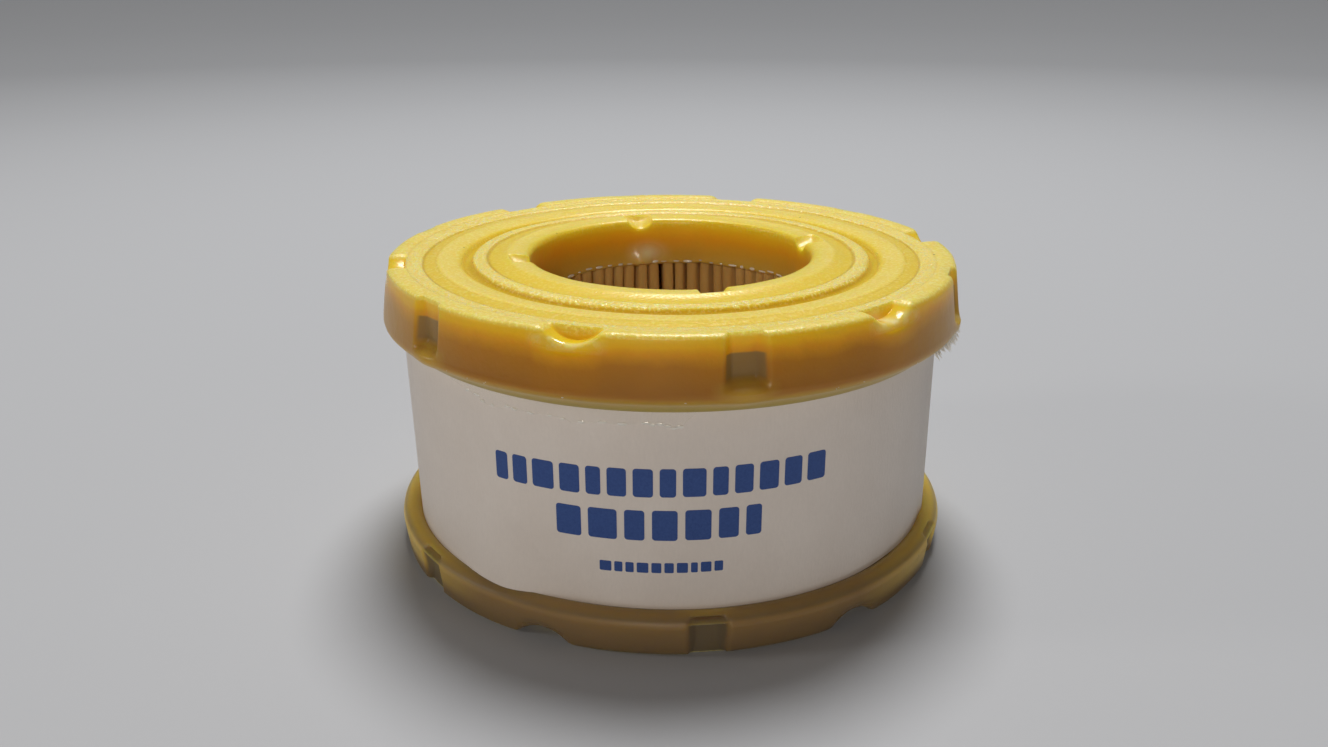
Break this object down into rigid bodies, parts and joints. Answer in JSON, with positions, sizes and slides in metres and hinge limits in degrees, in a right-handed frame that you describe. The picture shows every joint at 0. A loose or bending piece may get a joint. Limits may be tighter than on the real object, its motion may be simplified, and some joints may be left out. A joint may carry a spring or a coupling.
{
  "type": "engine air filter insert",
  "caption": "Ring-shaped pleated paper air filter insert with soft cast end caps, ribbed sealing faces, a round bore and a paper band.",
  "frame": {"origin": "centre of the lower sealing face, on the axis of the bore", "axes": "+Z along the bore towards the upper sealing face, -Y towards the front of the paper band, +X to the right seen from the front"},
  "size_m": [0.1018, 0.1018, 0.052],
  "materials": {
    "cast_cap": "satin, slightly translucent soft yellow plastic",
    "filter_paper": "matte resin-treated filter paper",
    "band_paper": "smooth uncoated white paper",
    "print_ink": "matte blue printing ink",
    "glue": "dried clear amber glue"
  },
  "bodies": {
    "root": {"upper_end_cap": "cast_cap", "lower_end_cap": "cast_cap", "pleated_paper": "filter_paper", "paper_seam_glue": "glue", "paper_band": "band_paper", "band_glue_strip": "glue"}
  },
  "joints": []
}
